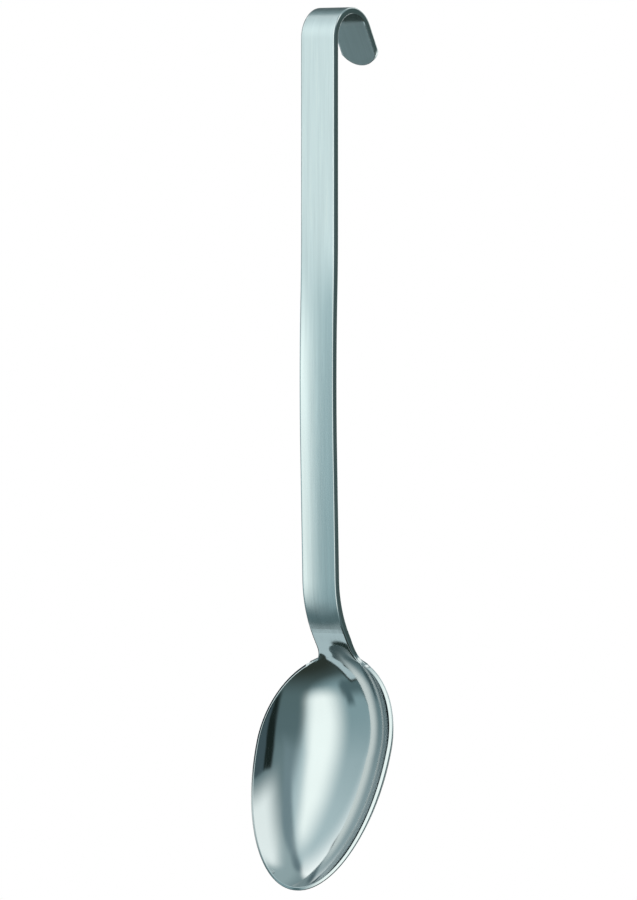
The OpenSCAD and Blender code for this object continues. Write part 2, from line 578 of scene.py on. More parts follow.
@dataclass(frozen=True)
class PolishedSteel:
    """18/10 stainless steel, pressed and then buffed to a mirror.

    The mirror is not perfect: the press leaves a long, very low wave in the sheet, and the
    buffing wheel leaves faint hair lines that only take the edge off a reflection.

    Attributes:
        name: name of the material.
        colour: sRGB hex value of the steel.
        roughness: least roughness.
        hair_rough: what the hair lines add to it at most.
        hairs: hair lines in a metre along each axis; 2600 is one each 0.4 millimetres, which is
            as coarse as they need to be to show.
        hairs_turned: turn of the hair lines about each axis, in radians.
        wave_height: height of the wave in millimetres.
        wave_length: its length in millimetres.
        wave_tone: least and most factor of the wave on the colour.
    """

    name: str
    colour: str = "#CCCECF"
    roughness: float = 0.05
    hair_rough: float = 0.05
    hairs: tuple[float, float, float] = (2600.0, 260.0, 120.0)
    hairs_turned: tuple[float, float, float] = (0.3, 0.1, 0.25)
    wave_height: float = 0.004
    wave_length: float = 16.0
    wave_tone: tuple[float, float] = (0.985, 1.015)

    def make(self) -> bpy.types.Material:
        """Builds the material.

        Returns:
            The material, which reads Object coordinates.
        """
        material, tree = new_tree(self.name)
        place = add_node(tree, "ShaderNodeTexCoord")
        hair = add_node(
            tree,
            "ShaderNodeMapping",
            {"Vector": place.outputs["Object"], "Scale": self.hairs, "Rotation": self.hairs_turned},
        )
        hairs = add_node(
            tree, "ShaderNodeTexNoise", {"Vector": hair.outputs[0], "Scale": 1.0, "Detail": 2.0}
        )
        cloud = add_node(
            tree,
            "ShaderNodeTexNoise",
            {"Vector": place.outputs["Object"], "Scale": 1000 / self.wave_length, "Detail": 1.0},
        )
        rough = add_node(
            tree,
            "ShaderNodeMapRange",
            {
                "Value": hairs.outputs[0],
                "From Min": 0.35,
                "From Max": 0.75,
                "To Min": self.roughness,
                "To Max": self.roughness + self.hair_rough,
            },
        )
        tone = add_node(
            tree,
            "ShaderNodeMapRange",
            {
                "Value": cloud.outputs[0],
                "From Min": 0.3,
                "From Max": 0.7,
                "To Min": self.wave_tone[0],
                "To Max": self.wave_tone[1],
            },
        )
        colour = add_node(
            tree,
            "ShaderNodeVectorMath",
            {0: linear(self.colour)[:3], "Scale": tone.outputs[0]},
            operation="SCALE",
        )
        wave = add_node(
            tree,
            "ShaderNodeBump",
            {"Height": cloud.outputs[0], "Strength": 1.0, "Distance": self.wave_height * MM},
        )
        steel = add_node(
            tree,
            "ShaderNodeBsdfPrincipled",
            {
                "Base Color": colour.outputs[0],
                "Metallic": 1.0,
                "Roughness": rough.outputs[0],
                "Normal": wave.outputs[0],
            },
        )
        add_node(tree, "ShaderNodeOutputMaterial", {"Surface": steel.outputs[0]})
        return material


# The handle


class SweptBar:
    """A flat bar that grows from one section by straight runs and bends."""

    def __init__(self, start: BarPlace, width: float, thickness: float, columns: int) -> None:
        """Starts the bar with its section.

        Args:
            start: place of the section on the middle of the bar.
            width: width of the bar.
            thickness: thickness of the bar.
            columns: faces across the width.
        """
        self.bm = bmesh.new()
        self.place = start
        self.width = width
        self.thickness = thickness
        made = bmesh.ops.create_grid(self.bm, x_segments=columns, y_segments=2, size=0.5)
        a = math.radians(start.lean)
        bmesh.ops.transform(
            self.bm,
            verts=made["verts"],
            matrix=Matrix.Translation((0, start.y, start.z))
            @ Matrix.Rotation(a, 4, "X")
            @ Matrix.Diagonal((width, thickness, 1, 1)),
        )
        self.cap = list(self.bm.faces)

    def straight(self, length: float) -> None:
        """Grows the bar straight on by one row.

        Args:
            length: length of the row.
        """
        there = self.place.ahead(length)
        self.cap = grow(self.bm, self.cap)
        step = (0, there.y - self.place.y, there.z - self.place.z)
        bmesh.ops.translate(self.bm, verts=verts_of(self.cap), vec=step)
        self.place = there

    def turn(self, centre: tuple[float, float], angle: float) -> None:
        """Grows the bar by one row round a centre.

        Args:
            centre: the centre's distance towards the back and its height.
            angle: angle in degrees; a positive one bends back.
        """
        made = bmesh.ops.spin(
            self.bm,
            geom=self.cap,
            cent=(0, *centre),
            axis=(1, 0, 0),
            angle=math.radians(angle),
            steps=1,
            use_merge=False,
        )
        drop_inside(self.bm, self.cap)
        self.cap = faces_in(made["geom_last"])

    def bend(
        self, radius: float, angle: float, steps: int, after: Callable[[int], None] | None = None
    ) -> None:
        """Grows the bar round a bend.

        Args:
            radius: radius at the middle of the bar.
            angle: angle in degrees; a positive one bends back.
            steps: rows along the bend.
            after: called with the row's number when the row is in place.
        """
        for i in range(steps):
            self.turn(self.place.centre(radius, angle), angle / steps)
            self.place = self.place.round(radius, angle / steps)
            if after:
                after(i)

    def hollow_front(self, depth: float) -> None:
        """Presses the front of the section in, most in the middle.

        Args:
            depth: how far the middle goes in; a negative depth takes a hollow out again.
        """
        a = math.radians(self.place.lean)
        inward = Vector((0, math.cos(a), math.sin(a)))
        here = Vector((0, self.place.y, self.place.z))
        before_middle = -0.02 * self.thickness
        for vert in verts_of(self.cap):
            if (vert.co - here).dot(inward) < before_middle:
                vert.co += inward * depth * (1 - (2 * vert.co.x / self.width) ** 2)

    def round_edges(self, front: float, back: float, ends: Iterable[BarPlace]) -> None:
        """Breaks the sharp edges of the bar, more on its front, the outer side of the hook.

        Args:
            front: width of the rounding on each side of a front edge.
            back: the same for the other edges.
            ends: places of the end sections that meet other pieces, whose edges stay sharp.
        """
        for radius, outer in ((front, True), (back, False)):
            bmesh.ops.recalc_face_normals(self.bm, faces=self.bm.faces)
            sharp = [
                e
                for e in self.bm.edges
                if len(e.link_faces) == 2
                and e.calc_face_angle(0) > SHARP
                and self._is_outer(e) is outer
                and not any(self._in_section(e, place) for place in ends)
            ]
            bmesh.ops.bevel(
                self.bm,
                geom=sharp,
                offset=radius,
                offset_type="OFFSET",
                affect="EDGES",
                segments=ROUNDING_STEPS,
                profile=0.5,
                material=-1,
                clamp_overlap=False,
            )
        mark_sharp(self.bm)

    @staticmethod
    def _in_section(edge: bmesh.types.BMEdge, place: BarPlace) -> bool:
        """Tells whether an edge lies in a section of the bar.

        Args:
            edge: the edge.
            place: place of the section.

        Returns:
            True if both its points do.
        """
        a = math.radians(place.lean)
        along = Vector((0, math.sin(a), -math.cos(a)))
        here = Vector((0, place.y, place.z))
        return all(abs((v.co - here).dot(along)) < TOUCHING for v in edge.verts)

    @staticmethod
    def _is_outer(edge: bmesh.types.BMEdge) -> bool:
        """Tells whether an edge lies on the front of the bar, which is the outer side of the hook.

        Args:
            edge: the edge, between two faces whose normals point out of the bar.

        Returns:
            True on the front.
        """
        middle = (edge.verts[0].co + edge.verts[1].co) / 2
        outward = Vector((0, middle.y, max(middle.z, 0)))
        face = max(edge.link_faces, key=lambda f: abs(f.normal.dot(outward)))
        return face.normal.dot(outward) > 0


@dataclass
class HandleBar:
    """One strip of flat bar: tongue, hook, long leg and most of the neck bend.

    Attributes:
        sizes: sizes of the bar.
        hollow: depth of the hollow along the middle of the lower leg's front.
        columns: faces across the width.
        hook_rows: rows round the hook.
        tongue_rows: rows along the tongue.
        leg_rows: rows along the straight leg.
        kink_rows: rows round the forward kink.
        sweep_rows: rows round the long sweep back.
        lower_rows: rows along the lower leg.
        neck_rows: rows round the neck bend.
        satin: finish.
    """

    sizes: BarSizes = field(default_factory=BarSizes)
    hollow: float = 1.0
    columns: int = 16
    hook_rows: int = 44
    tongue_rows: int = 6
    leg_rows: int = 6
    kink_rows: int = 6
    sweep_rows: int = 14
    lower_rows: int = 8
    neck_rows: int = 36
    satin: SatinSteel = field(default_factory=SatinSteel)

    def _tongue(self, bar: SweptBar) -> None:
        """Grows the hook and the tongue with its round end, then goes back to the first section.

        Args:
            bar: the bar, with its section at the start of the leg.
        """
        s = self.sizes
        for _ in range(self.hook_rows):
            bar.turn((0, 0), (s.hook_flare - 180) / self.hook_rows)
        flare = math.radians(s.hook_flare)
        down = Vector((0, math.sin(flare), -math.cos(flare)))
        for _ in range(self.tongue_rows):
            bar.cap = grow(bar.bm, bar.cap)
            for vert in verts_of(bar.cap):
                reach = math.sqrt(s.tongue_radius**2 - vert.co.x**2)
                vert.co += down * (s.return_length - s.tongue_radius + reach) / self.tongue_rows
        bar.cap = [
            f for f in bar.bm.faces if all(abs(v.co.z) < TOUCHING and v.co.y < 0 for v in f.verts)
        ]

    @staticmethod
    def _ease(rows: int) -> list[float]:
        """Returns the share of each row in a change that starts and ends gently."""
        reached = [gentle(i / rows) for i in range(rows + 1)]
        return [after - before for before, after in zip(reached, reached[1:])]

    def _unwrap(self, bm: bmesh.types.BMesh) -> None:
        """Writes the UV map: distance across the section and along the bar, in millimetres.

        The map of the narrow edges lies beside that of the faces.

        Args:
            bm: the finished shape.
        """
        s = self.sizes
        edge_turned, edge_aside = 0.75, 20.0
        layer = bm.loops.layers.uv.new("bar_mm")
        flare = math.radians(s.hook_flare)
        hook_end = s.hook_middle * (math.pi - flare)
        for face in bm.faces:
            on_edge = abs(face.normal.x) > edge_turned
            for loop in face.loops:
                co = loop.vert.co
                past = co.y * math.sin(flare) - co.z * math.cos(flare)
                if past > 0 and co.y > 0:
                    along = -hook_end - past
                elif co.z > 0:
                    along = -s.hook_middle * math.atan2(co.z, -co.y)
                else:
                    along = -co.z
                across = math.hypot(co.y, max(co.z, 0)) + edge_aside if on_edge else co.x
                loop[layer].uv = (across, along)

    def build(self) -> bpy.types.Object:
        """Builds the handle.

        Returns:
            The dressed handle, which stands for the solid of the same place.
        """
        s = self.sizes
        bar = SweptBar(s.leg_start, s.width, s.thickness, self.columns)
        self._tongue(bar)
        for _ in range(self.leg_rows):
            bar.straight(s.leg / self.leg_rows)
        into = self._ease(self.kink_rows + self.sweep_rows // 2) + [0.0] * self.sweep_rows
        bar.bend(
            s.kink_radius,
            -s.kink,
            self.kink_rows,
            after=lambda i: bar.hollow_front(self.hollow * into[i]),
        )
        bar.bend(
            s.sweep_radius,
            s.kink + s.lean,
            self.sweep_rows,
            after=lambda i: bar.hollow_front(self.hollow * into[self.kink_rows + i]),
        )
        for _ in range(self.lower_rows):
            bar.straight(s.lower / self.lower_rows)
        out = self._ease(self.neck_rows)
        bar.bend(
            s.neck_radius,
            s.weld_start - s.lean,
            self.neck_rows,
            after=lambda i: bar.hollow_front(-self.hollow * out[i]),
        )
        bar.round_edges(s.front_edge, s.back_edge, [bar.place])
        bmesh.ops.recalc_face_normals(bar.bm, faces=bar.bm.faces)
        self._unwrap(bar.bm)
        obj = finish_mesh(bar.bm, "handle_bar")
        keep_flats_flat(obj)
        obj.data.materials.append(self.satin.make())
        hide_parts("handle")
        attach(obj, "root")
        return obj


@dataclass
class NeckWeld:
    """Butt weld between the bar and the tang, ground flush and buffed.

    Attributes:
        sizes: sizes of the bar, whose section the weld has.
        columns: faces across the width.
        rows: rows along the weld.
        finish: finish.
    """

    sizes: BarSizes = field(default_factory=BarSizes)
    columns: int = 16
    rows: int = 4
    finish: PolishedSteel = field(
        default_factory=lambda: PolishedSteel("buffed_weld_metal", colour="#CDCFD0", roughness=0.15)
    )

    def build(self) -> bpy.types.Object:
        """Builds the weld.

        Returns:
            The dressed weld, which stands for the solid of the same place.
        """
        s = self.sizes
        start = s.neck_start.round(s.neck_radius, s.weld_start - s.lean)
        bar = SweptBar(start, s.width, s.thickness, self.columns)
        bar.bend(s.neck_radius, s.weld_turn, self.rows)
        bar.round_edges(s.front_edge, s.back_edge, [start, bar.place])
        obj = finish_mesh(bar.bm, "ground_weld")
        keep_flats_flat(obj)
        obj.data.materials.append(self.finish.make())
        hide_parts("neck_weld")
        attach(obj, "root")
        return obj


# The bowl


@dataclass
class PressedBowl:
    """Bowl pressed from one sheet, with the tang that meets the handle.

    The tang runs on into the inner wall, so nothing marks where the bar ends and the bowl starts.
    The rim is the cut edge of the sheet, square to the wall.

    Attributes:
        sizes: sizes of the bar, whose section the tang has.
        length: length of the rim's outline.
        width: its width.
        depth: depth of the bowl's back below the plane of the rim.
        widest: distance from the tang to the widest place.
        deepest: distance from the tang to the deepest place.
        tilt: angle between the plane of the rim and the vertical, in degrees.
        rim: thickness of the sheet at the rim.
        wall: thickness at the bottom.
        profile_share: share of a quarter circle that the wall's curve uses.
        shoulder: radius of the flow from the tang into the rim.
        blend_up: height over which the wall's surface passes into the flat tang.
        rim_drop: share of the curve by which the outer face stops short of the rim's plane.
        rim_flare: how far the outer face stands outside its outline.
        rim_edge: width of the rounding of the rim's inner edge.
        rim_outer_edge: the same for its outer edge.
        tang_columns: faces across half of the tang.
        side_columns: faces along half of the free rim.
        rings: rings of faces from the bottom to the rim.
        flow_rows: rows up the shoulders.
        bend_rows: rows up the rest of the tang.
        finish: finish.
    """

    sizes: BarSizes = field(default_factory=BarSizes)
    length: float = 89.0
    width: float = 62.2
    depth: float = 18.0
    widest: float = 34.5
    deepest: float = 36.0
    tilt: float = 17.1
    rim: float = 1.5
    wall: float = 1.4
    profile_share: float = 0.85
    shoulder: float = 6.5
    blend_up: float = 9.5
    rim_drop: float = 0.012
    rim_flare: float = 0.34
    rim_edge: float = 0.18
    rim_outer_edge: float = 0.48
    tang_columns: int = 11
    side_columns: int = 100
    rings: int = 62
    flow_rows: int = 12
    bend_rows: int = 16
    finish: PolishedSteel = field(default_factory=lambda: PolishedSteel("buffed_mirror_stainless"))

    @property
    def top_row(self) -> int:
        """Number of the row where the tang meets the weld."""
        return self.flow_rows + self.bend_rows

    def _angles(self) -> list[float]:
        """Works out where the columns meet the rim.

        Returns:
            Angles round the rim, from the middle of the tang by the +X side and back.
        """
        shoulder = math.asin((self.sizes.width / 2 + self.shoulder) / (self.width / 2))
        near = [i / self.tang_columns * shoulder for i in range(self.tang_columns + 1)]
        far = [
            shoulder + i / self.side_columns * (math.pi - shoulder)
            for i in range(1, self.side_columns + 1)
        ]
        half = near + far
        return half + [2 * math.pi - a for a in reversed(half[1:-1])]

    def _outline(self, angle: float, inset: float) -> tuple[float, float]:
        """Finds a place on the rim.

        Args:
            angle: angle round the rim.
            inset: distance inside the outline.

        Returns:
            The place's distance from the middle and from the tang.
        """
        reach = self.widest if math.cos(angle) > 0 else self.length - self.widest
        return (
            (self.width / 2 - inset) * math.sin(angle),
            self.widest - (reach - inset) * math.cos(angle),
        )

    def _depth_share(self, ring_share: float) -> float:
        """Finds the depth of the wall on its curve.

        Args:
            ring_share: size of the ring as a share of the rim's.

        Returns:
            The depth as a share of the bottom's.
        """
        upright = math.sqrt(1 - self.profile_share**2)
        here = math.sqrt(1 - (self.profile_share * ring_share) ** 2)
        return (here - upright) / (1 - upright)

    def _in_space(self, across: float, along: float, deep: float) -> Vector:
        """Turns a place in the plane of the rim to one in the frame.

        Args:
            across: distance from the middle.
            along: distance from the tang.
            deep: depth below the plane.

        Returns:
            The place in millimetres.
        """
        s = self.sizes
        t = math.radians(self.tilt)
        front_y, front_z = s.rim.face(-s.thickness / 2)
        rim_y = front_y + self.rim * math.sin(t)
        rim_z = front_z + self.rim * math.cos(t)
        return Vector(
            (
                across,
                rim_y - along * math.sin(t) + deep * math.cos(t),
                rim_z - along * math.cos(t) - deep * math.sin(t),
            )
        )

    def _face_sizes(self, side: Side) -> tuple[float, float, float]:
        """Looks up how a face of the sheet differs from the other.

        Args:
            side: face of the sheet.

        Returns:
            The inset of its outline, its depth and the share of the curve that it reaches.
        """
        if side is Side.FRONT:
            return self.rim, self.depth - self.wall, 1.0
        return -self.rim_flare, self.depth, 1.0 - self.rim_drop

    def _ring_point(self, angle: float, ring: int, side: Side) -> Vector:
        """Finds a point of a ring; the rings climb the wall in equal steps of its curve.

        Args:
            angle: angle round the rim.
            ring: number of the ring, 0 at the bottom.
            side: face of the sheet.

        Returns:
            The place in millimetres.
        """
        inset, depth, top = self._face_sizes(side)
        k = self.profile_share
        share = math.sin(ring / self.rings * math.asin(k * top)) / k
        across, along = self._outline(angle, inset)
        return self._in_space(
            share * across,
            self.deepest + share * (along - self.deepest),
            depth * self._depth_share(share),
        )

    def _wall_deep(self, across: float, along: float, side: Side) -> float:
        """Finds the depth of the wall near the tang, going straight on above its top.

        Args:
            across: distance from the middle.
            along: distance from the tang in the plane of the rim.
            side: face of the sheet.

        Returns:
            The depth below the plane of the rim, negative above it.
        """
        inset, depth, top = self._face_sizes(side)
        half, reach = self.width / 2 - inset, self.widest - inset
        shift, back = self.widest - self.deepest, along - self.deepest
        a = (across / half) ** 2 + (back / reach) ** 2
        b = shift * back / reach**2
        c = (shift / reach) ** 2 - 1
        share = a / (b + math.sqrt(b * b - a * c))
        if share <= top:
            return depth * self._depth_share(share)
        step = 1e-3
        slope = (self._depth_share(top) - self._depth_share(top - step)) / step
        return depth * (self._depth_share(top) + slope * (share - top))

    def _wall_y(self, across: float, z: float, side: Side) -> float:
        """Finds how far back the wall, or its straight continuation, lies.

        Args:
            across: distance from the middle.
            z: height.
            side: face of the sheet.

        Returns:
            The distance towards the back.
        """
        origin = self._in_space(0, 0, 0)
        t = math.radians(self.tilt)
        along, deep = (origin.z - z) / math.cos(t), 0.0
        for _ in range(SEEKING_ROUNDS):
            deep = self._wall_deep(across, along, side)
            along = (origin.z - z - deep * math.sin(t)) / math.cos(t)
        return self._in_space(across, along, deep).y

    def _tang_heights(self) -> list[tuple[float, float]]:
        """Spaces the rows up the tang.

        Returns:
            Each row's distance above the rim and its share of the flow into the rim's width.
        """
        quarter = math.pi / 2 / self.flow_rows
        flow = [
            (self.shoulder * (1 - math.cos(i * quarter)), 1 - math.sin(i * quarter))
            for i in range(self.flow_rows + 1)
        ]
        rest = self.sizes.tang_top - self.shoulder
        straight = [
            (self.shoulder + i / self.bend_rows * rest, 0.0) for i in range(1, self.bend_rows + 1)
        ]
        return flow + straight

    def _tang_face(self, up: float, side: Side) -> tuple[float, float]:
        """Returns how far back and how high a face of the tang is at a distance above the rim."""
        half = self.sizes.thickness / 2
        return self.sizes.tang_place(up).face(-half if side is Side.FRONT else half)

    def _tang_y(self, z: float, side: Side) -> float:
        """Finds how far back a face of the tang lies.

        Args:
            z: height.
            side: face of the sheet.

        Returns:
            The distance towards the back.
        """
        up = 0.0
        for _ in range(SEEKING_ROUNDS):
            lean = math.radians(self.sizes.tang_place(up).lean)
            up += (z - self._tang_face(up, side)[1]) / math.cos(lean)
        return self._tang_face(up, side)[0]

    def _point(self, column: int, row: int, side: Side, angle: float) -> Vector:
        """Finds the place of a point of the sheet.

        Up the tang the surface passes gently from the wall's line to the flat bar's.

        Args:
            column: column across the tang, negative on the -X side.
            row: row up the tang, 0 at the rim and negative down the wall.
            side: face of the sheet.
            angle: the column's angle round the rim.

        Returns:
            The place in millimetres.
        """
        if row <= 0:
            return self._ring_point(angle, self.rings + row, side)
        s = self.sizes
        rim = self._ring_point(angle, self.rings, side)
        up, flow = self._tang_heights()[row]
        straight = column / self.tang_columns * s.width / 2
        across = straight + flow * (rim.x - straight)
        top_y, top_z = self._tang_face(s.tang_top, side)
        z = rim.z + up / s.tang_top * (top_z - rim.z)
        if row == self.top_row:
            return Vector((across, top_y, top_z))
        share = gentle(min(up / self.blend_up, 1.0))
        wall_y = self._wall_y(across, z, side)
        return Vector((across, wall_y + share * (self._tang_y(z, side) - wall_y), z))

    def _grow_wall(self, bm: bmesh.types.BMesh, edges: list[bmesh.types.BMEdge], side: Side) -> None:
        """Grows the rings of one face of the wall from the rim and closes it with a fan at the bottom.

        Its points are marked with their rows here; build puts them in their places.

        Args:
            bm: the shape.
            edges: edges of the rim on that face.
            side: face of the sheet.
        """
        height = bm.verts.layers.int["row"]
        for ring in range(self.rings - 1, 0, -1):
            edges = edges_in(bmesh.ops.extrude_edge_only(bm, edges=edges)["geom"])
            for vert in verts_of(edges):
                vert[height] = ring - self.rings
        bottom = bmesh.ops.contextual_create(bm, geom=edges + verts_of(edges))["faces"]
        middle = bmesh.ops.poke(bm, faces=bottom)["verts"][0]
        middle[height] = -self.rings
        middle[bm.verts.layers.int["side"]] = side.value

    def _weigh_edges(self, bm: bmesh.types.BMesh) -> None:
        """Marks the edges of the cut sheet to be broken: most on the tang's front, least inside the rim.

        Args:
            bm: the finished shape.
        """
        s = self.sizes
        marks = [bm.verts.layers.int[name] for name in ("column", "row", "side")]
        weight = bm.edges.layers.float.new("bevel_weight_edge")
        heights = [up for up, _ in self._tang_heights()]
        for edge in bm.edges:
            columns, rows, sides = ([v[mark] for v in edge.verts] for mark in marks)
            if sides[0] != sides[1] or min(rows) >= self.top_row:
                continue
            front = sides[0] == Side.FRONT.value
            low = (self.rim_edge if front else self.rim_outer_edge) / s.front_edge
            high = 1.0 if front else s.back_edge / s.front_edge
            at_side = all(abs(c) == self.tang_columns for c in columns)
            if rows == [0, 0] and all(abs(c) >= self.tang_columns for c in columns):
                edge[weight] = low
            elif at_side and min(rows) >= 0 and rows[0] != rows[1]:
                climbed = min(heights[max(rows)] / self.shoulder, 1.0)
                edge[weight] = low + (high - low) * gentle(climbed)

    def build(self) -> bpy.types.Object:
        """Builds the bowl with its tang.

        Returns:
            The dressed bowl, which stands for the solid of the same place.
        """
        angles = self._angles()
        count = len(angles)
        bm = bmesh.new()
        column = bm.verts.layers.int.new("column")
        height = bm.verts.layers.int.new("row")
        side = bm.verts.layers.int.new("side")
        circle = bmesh.ops.create_circle(bm, cap_ends=False, radius=self.width / 2, segments=count)
        for i, vert in enumerate(circle["verts"]):
            vert[column] = i if i <= count // 2 else i - count
            vert[side] = Side.FRONT.value
        rim_edges = list(bm.edges)
        self._grow_wall(bm, rim_edges, Side.FRONT)

        made = bmesh.ops.extrude_edge_only(bm, edges=rim_edges)["geom"]
        outer = edges_in(made)
        for vert in verts_of(outer):
            vert[side] = Side.BACK.value
        self._grow_wall(bm, outer, Side.BACK)

        cap = [f for f in faces_in(made) if all(abs(v[column]) <= self.tang_columns for v in f.verts)]
        for row in range(1, self.top_row + 1):
            cap = grow(bm, cap)
            for vert in verts_of(cap):
                vert[height] = row
        for vert in bm.verts:
            angle = angles[vert[column]]
            vert.co = self._point(vert[column], vert[height], Side(vert[side]), angle)
        self._weigh_edges(bm)

        obj = finish_mesh(bm, "pressed_bowl")
        broken = obj.modifiers.new("broken_edges", "BEVEL")
        broken.limit_method = "WEIGHT"
        broken.width = self.sizes.front_edge * MM
        broken.segments = ROUNDING_STEPS
        broken.profile = 0.5
        broken.use_clamp_overlap = False
        settle(obj)
        keep_flats_flat(obj)
        obj.data.materials.append(self.finish.make())
        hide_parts("bowl")
        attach(obj, "root")
        return obj


# Studio


def direction(azimuth: float, elevation: float) -> Vector:
    """Returns the unit way to an azimuth and elevation in degrees; 0, 0 is straight in front."""
    a, e = math.radians(azimuth), math.radians(elevation)
    return Vector((math.sin(a) * math.cos(e), -math.cos(a) * math.cos(e), math.sin(e)))


@dataclass(frozen=True)
class Card:
    """A flat light or a dark card round the spoon, given by the directions of its corners.

    Attributes:
        name: what the card is.
        corners: azimuth and elevation of each corner in degrees, going round the card; azimuth 0
            is in front of the bowl, and it grows towards +X.
        soft: width in degrees over which each side fades, from the side after the first corner.
        colour: sRGB hex value that the polished steel shows of it.
    """

    name: str
    corners: tuple[tuple[float, float], ...]
    soft: tuple[float, ...]
    colour: str

    def sides(self) -> list[tuple[Vector, float]]:
        """Works out the planes through the sides of the card and the eye.

        Returns:
            For each side, the plane's normal towards the middle and its softness in radians.
        """
        ways = [direction(*corner) for corner in self.corners]
        middle = sum(ways, Vector((0, 0, 0)))
        sides = []
        for here, there, soft in zip(ways, ways[1:] + ways[:1], self.soft, strict=True):
            normal = here.cross(there).normalized()
            inward = normal if normal.dot(middle) > 0 else -normal
            sides.append((inward, math.radians(soft)))
        return sides


@dataclass
class StudioLight:
    """White surround with a room of soft lights and cards that only the steel sees.

    Attributes:
        gain: factor on all the colours, which are those that the polished steel shows, so that
            the lights are brighter by what the steel keeps back.
        sky: elevation in degrees and colour of what is behind the cards, from the bottom up.
        cards: lights and cards from the farthest to the nearest.
    """

    gain: float = 1.62
    sky: tuple[tuple[float, str], ...] = (
        (-90.0, "#2B332E"),
        (-60.0, "#2B332E"),
        (-26.0, "#506567"),
        (0.0, "#52676A"),
        (30.0, "#64797C"),
        (50.0, "#73878A"),
        (75.0, "#8CA0A2"),
    )
    cards: tuple[Card, ...] = (
        Card(
            "ceiling_light",
            ((60, 32), (100, 32), (112, 60), (80, 86), (0, 88), (30, 76)),
            (16, 10, 10, 14, 20, 22),
            "#DEE8E6",
        ),
        Card(
            "tent_seam_left",
            ((-112, 46), (-96, 63), (-70, 74), (-30, 80), (10, 79), (0, 40), (-110, 30)),
            (6, 6, 6, 8, 20, 30, 10),
            "#61757A",
        ),
        Card(
            "tent_seam_right",
            ((-40, 80), (4, 79.5), (28, 71), (44, 55), (59, 31), (55, 12), (-10, 40)),
            (8, 6, 6, 6, 4, 24, 20),
            "#6C8186",
        ),
        Card(
            "tent_wall",
            (
                (-104, 48), (-86, 61), (-50, 70), (-10, 71), (20, 62),
                (36, 47), (26, 10), (24, -30), (-76, -27), (-80, 10),
            ),
            (6, 7, 8, 8, 9, 9, 16, 16, 8, 6),
            "#7A9498",
        ),
        Card(
            "tent_top",
            ((-104, 48), (-86, 61), (-50, 70), (-10, 71), (20, 62), (36, 47), (28, 12), (-80, 12)),
            (6, 7, 8, 8, 9, 16, 60, 10),
            "#A3B8BB",
        ),
        Card("table_gap", ((-84, -18), (-30, -24), (-30, -36), (-84, -31)), (10, 8, 8, 3), "#4C6265"),
        Card("table_corner", ((-47, -17), (-35, -17), (-36, -37), (-44, -37)), (8, 7, 9, 7), "#4A6064"),
        Card(
            "left_light",
            ((-105, 47), (-88, 61), (-74, 64), (-82, 0), (-96, 0)),
            (5, 6, 34, 24, 6),
            "#F0F8F6",
        ),
        Card("left_gap", ((-82, 7), (-82, 38), (-102, 38), (-102, 7)), (5, 4, 4, 5), "#2A3438"),
        Card(
            "front_light",
            ((-20, -30), (19, -30), (24, 20), (19, 46), (5, 63), (-26, 66)),
            (16, 24, 25, 20, 16, 34),
            "#ECF7F3",
        ),
        Card("grey_side", ((72, 26), (90, 26), (80, -34), (60, -30)), (2, 8, 8, 2), "#3E4F54"),
        Card(
            "black_card",
            ((60, 27), (73, 25.5), (69, 2), (60, -29), (50, -40), (57, -5)),
            (2, 2, 2, 2, 4, 7),
            "#182220",
        ),
        Card(
            "table_edge",
            ((-54, -32.5), (-50, -38), (-44, -60), (-62, -66), (-81, -56), (-81, -28)),
            (2, 4, 4, 3, 2, 2),
            "#26302D",
        ),
        Card(
            "white_card",
            ((-57, -34), (-54, -37), (-48, -60), (-62, -66), (-81, -56), (-81, -29)),
            (1.5, 2, 2, 3, 2, 2),
            "#A2B6B9",
        ),
        Card(
            "table_notch",
            ((-64, -45.3), (-77.5, -51.5), (-92, -52), (-92, -34), (-70, -34)),
            (1, 2, 2, 2, 2),
            "#222F2C",
        ),
        Card("back_light", ((156, -30), (198, -30), (198, 62), (156, 62)), (14, 8, 14, 16), "#DDE7E5"),
        Card(
            "back_dark",
            ((206, -45), (272, -45), (276, 4), (272, 25), (257, 37), (248, 60), (206, 60)),
            (8, 4, 3, 3, 4, 8, 10),
            "#232E2E",
        ),
        Card("side_dark", ((104, -50), (154, -50), (154, 24), (104, 24)), (10, 10, 10, 8), "#3A4A49"),
    )

    def build(self) -> None:
        """Builds the world: what the camera sees is plain white, what the steel sees is the studio."""
        world = bpy.data.worlds.new("studio")
        world.use_nodes = True
        tree = world.node_tree
        tree.nodes.clear()
        place = add_node(tree, "ShaderNodeTexCoord")
        way = place.outputs["Generated"]
        height = add_node(tree, "ShaderNodeSeparateXYZ", {0: way})
        rise = add_node(tree, "ShaderNodeMath", {0: height.outputs["Z"]}, operation="ARCSINE")
        elevation = add_node(tree, "ShaderNodeMath", {0: rise.outputs[0]}, operation="DEGREES")

        layers = []
        for (low, _), (high, colour) in zip(self.sky, self.sky[1:]):
            share = add_node(
                tree,
                "ShaderNodeMapRange",
                {"Value": elevation.outputs[0], "From Min": low, "From Max": high},
                interpolation_type="SMOOTHSTEP",
            )
            layers.append((share.outputs[0], colour))
        layers += [(self._share(tree, card, way), card.colour) for card in self.cards]
        light: object = linear(self.sky[0][1], self.gain)
        for share, colour in layers:
            mixed = add_node(
                tree, "ShaderNodeMix", {0: share, 6: light, 7: linear(colour, self.gain)}, data_type="RGBA"
            )
            light = mixed.outputs[2]

        seen = add_node(tree, "ShaderNodeLightPath").outputs["Is Camera Ray"]
        white = (1.0, 1.0, 1.0, 1.0)
        view = add_node(tree, "ShaderNodeMix", {0: seen, 6: light, 7: white}, data_type="RGBA")
        background = add_node(tree, "ShaderNodeBackground", {"Color": view.outputs[2], "Strength": 1.0})
        add_node(tree, "ShaderNodeOutputWorld", {"Surface": background.outputs[0]})
        bpy.context.scene.world = world
        bpy.context.scene.view_settings.view_transform = "Standard"

